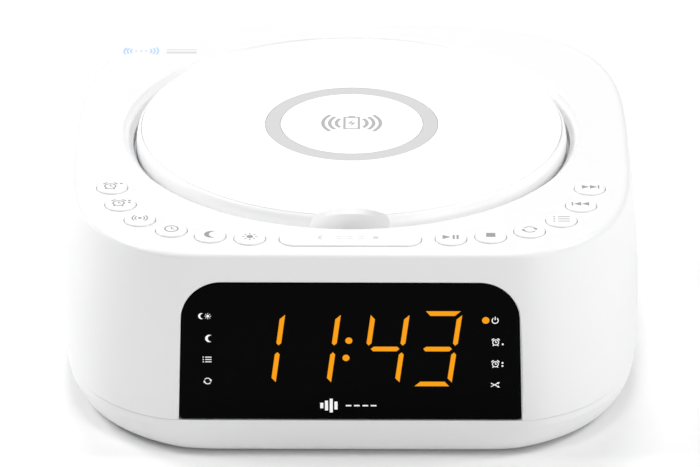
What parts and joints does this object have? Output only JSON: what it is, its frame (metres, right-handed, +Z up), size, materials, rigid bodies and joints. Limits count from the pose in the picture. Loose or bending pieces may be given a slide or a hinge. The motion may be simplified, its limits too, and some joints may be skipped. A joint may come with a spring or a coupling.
{
  "type": "clock radio",
  "caption": "Rounded-square white clock radio with a round lift-up disc lid carrying a wireless charging pad, a lit clock window in front and a row of push buttons.",
  "frame": {"origin": "on the floor, under the middle of the body's bounding box", "axes": "+Z up, display faces -Y, +X to the right of someone facing the display"},
  "size_m": [0.2128, 0.2062, 0.0837],
  "materials": {
    "white_shell": "satin white",
    "smoked_lens": "polished black",
    "grey_silicone": "matt light grey",
    "inner_plastic": "matt",
    "black_rubber": "matt",
    "bright_steel": "plated",
    "circuit_board": "solder mask",
    "black_plastic": "fine texture",
    "amber_display": "lit amber segments",
    "copper_wire": "wound wire",
    "ferrite": "sintered",
    "gear_plastic": "moulded"
  },
  "bodies": {
    "radio_body": {"upper_case": "white_shell", "base_case": "white_shell", "display_window": "smoked_lens", "foot_front_left": "black_rubber", "foot_front_right": "black_rubber", "foot_rear_left": "black_rubber", "foot_rear_right": "black_rubber", "case_screw_front_left": "bright_steel", "case_screw_front_right": "bright_steel", "case_screw_rear_left": "bright_steel", "case_screw_rear_right": "bright_steel", "hinge_pin_left": "bright_steel", "hinge_pin_right": "bright_steel", "key_board": "circuit_board", "display_board": "circuit_board", "led_display": "amber_display", "speaker_left": "black_plastic", "speaker_right": "black_plastic", "main_board": "circuit_board", "dc_jack": "black_plastic", "aux_jack": "black_plastic", "usb_port": "bright_steel", "backup_cell": "bright_steel", "lid_sensor": "black_plastic", "mechanism_chassis": "bright_steel", "guide_rod_left": "bright_steel", "guide_rod_right": "bright_steel", "spindle_motor": "bright_steel", "sled_motor": "bright_steel", "isolator_front": "black_rubber", "isolator_rear_left": "black_rubber", "isolator_rear_right": "black_rubber"},
    "lid": {"lid_cover": "white_shell", "lid_liner": "inner_plastic", "charging_ring": "grey_silicone", "charging_coil": "copper_wire", "coil_shield": "ferrite", "charger_board": "circuit_board"},
    "turntable": {"turntable_hub": "black_plastic"},
    "pickup": {"laser_pickup": "black_plastic"},
    "gear": {"sled_gear": "gear_plastic"},
    "pinion": {"sled_pinion": "gear_plastic"},
    "cell_door": {"battery_door": "white_shell"},
    "snooze_bar": {"snooze_bar": "white_shell"},
    "button_brightness": {"button_brightness": "white_shell"},
    "button_sleep": {"button_sleep": "white_shell"},
    "button_clock": {"button_clock": "white_shell"},
    "button_mode": {"button_mode": "white_shell"},
    "button_alarm_two": {"button_alarm_two": "white_shell"},
    "button_alarm_one": {"button_alarm_one": "white_shell"},
    "button_play_pause": {"button_play_pause": "white_shell"},
    "button_stop": {"button_stop": "white_shell"},
    "button_repeat": {"button_repeat": "white_shell"},
    "button_program": {"button_program": "white_shell"},
    "button_previous": {"button_previous": "white_shell"},
    "button_next": {"button_next": "white_shell"}
  },
  "joints": [
    {"name": "lid_hinge", "type": "hinge", "parent": "radio_body", "child": "lid", "pos_m": [0, 0.0908, 0.0755], "axis": [-1, 0, 0], "range_deg": [0, 65]},
    {"name": "turntable_spin", "type": "hinge", "parent": "radio_body", "child": "turntable", "pos_m": [0, 0.0033, 0.066], "axis": [0, 0, 1], "continuous": true},
    {"name": "pickup_slide", "type": "slide", "parent": "radio_body", "child": "pickup", "axis": [0, -1, 0], "range_m": [0, 0.032]},
    {"name": "gear_spin", "type": "hinge", "parent": "radio_body", "child": "gear", "pos_m": [0.036, -0.0367, 0.042], "axis": [0, 0, 1], "range_deg": [0, 230]},
    {"name": "pinion_spin", "type": "hinge", "parent": "radio_body", "child": "pinion", "pos_m": [0.05332, -0.0267, 0.041], "axis": [0, 0, 1], "range_deg": [-917, 0]},
    {"name": "battery_door_twist", "type": "hinge", "parent": "radio_body", "child": "cell_door", "pos_m": [0, 0.066, 0.003], "axis": [0, 0, 1], "range_deg": [0, 35]},
    {"name": "snooze_bar_press", "type": "slide", "parent": "radio_body", "child": "snooze_bar", "axis": [0, 0, -1], "range_m": [0, 0.0008], "stiffness_N_per_m": 600, "springref_m": -0.001},
    {"name": "button_brightness_press", "type": "slide", "parent": "radio_body", "child": "button_brightness", "axis": [0, 0, -1], "range_m": [0, 0.0008], "stiffness_N_per_m": 600, "springref_m": -0.001},
    {"name": "button_sleep_press", "type": "slide", "parent": "radio_body", "child": "button_sleep", "axis": [0, 0, -1], "range_m": [0, 0.0008], "stiffness_N_per_m": 600, "springref_m": -0.001},
    {"name": "button_clock_press", "type": "slide", "parent": "radio_body", "child": "button_clock", "axis": [0, 0, -1], "range_m": [0, 0.0008], "stiffness_N_per_m": 600, "springref_m": -0.001},
    {"name": "button_mode_press", "type": "slide", "parent": "radio_body", "child": "button_mode", "axis": [0, 0, -1], "range_m": [0, 0.0008], "stiffness_N_per_m": 600, "springref_m": -0.001},
    {"name": "button_alarm_two_press", "type": "slide", "parent": "radio_body", "child": "button_alarm_two", "axis": [0, 0, -1], "range_m": [0, 0.0008], "stiffness_N_per_m": 600, "springref_m": -0.001},
    {"name": "button_alarm_one_press", "type": "slide", "parent": "radio_body", "child": "button_alarm_one", "axis": [0, 0, -1], "range_m": [0, 0.0008], "stiffness_N_per_m": 600, "springref_m": -0.001},
    {"name": "button_play_pause_press", "type": "slide", "parent": "radio_body", "child": "button_play_pause", "axis": [0, 0, -1], "range_m": [0, 0.0008], "stiffness_N_per_m": 600, "springref_m": -0.001},
    {"name": "button_stop_press", "type": "slide", "parent": "radio_body", "child": "button_stop", "axis": [0, 0, -1], "range_m": [0, 0.0008], "stiffness_N_per_m": 600, "springref_m": -0.001},
    {"name": "button_repeat_press", "type": "slide", "parent": "radio_body", "child": "button_repeat", "axis": [0, 0, -1], "range_m": [0, 0.0008], "stiffness_N_per_m": 600, "springref_m": -0.001},
    {"name": "button_program_press", "type": "slide", "parent": "radio_body", "child": "button_program", "axis": [0, 0, -1], "range_m": [0, 0.0008], "stiffness_N_per_m": 600, "springref_m": -0.001},
    {"name": "button_previous_press", "type": "slide", "parent": "radio_body", "child": "button_previous", "axis": [0, 0, -1], "range_m": [0, 0.0008], "stiffness_N_per_m": 600, "springref_m": -0.001},
    {"name": "button_next_press", "type": "slide", "parent": "radio_body", "child": "button_next", "axis": [0, 0, -1], "range_m": [0, 0.0008], "stiffness_N_per_m": 600, "springref_m": -0.001}
  ],
  "couplings": [
    {"joint": "gear_spin", "follows": "pickup_slide", "rad_per_m": 125},
    {"joint": "pinion_spin", "follows": "pickup_slide", "rad_per_m": -500}
  ]
}
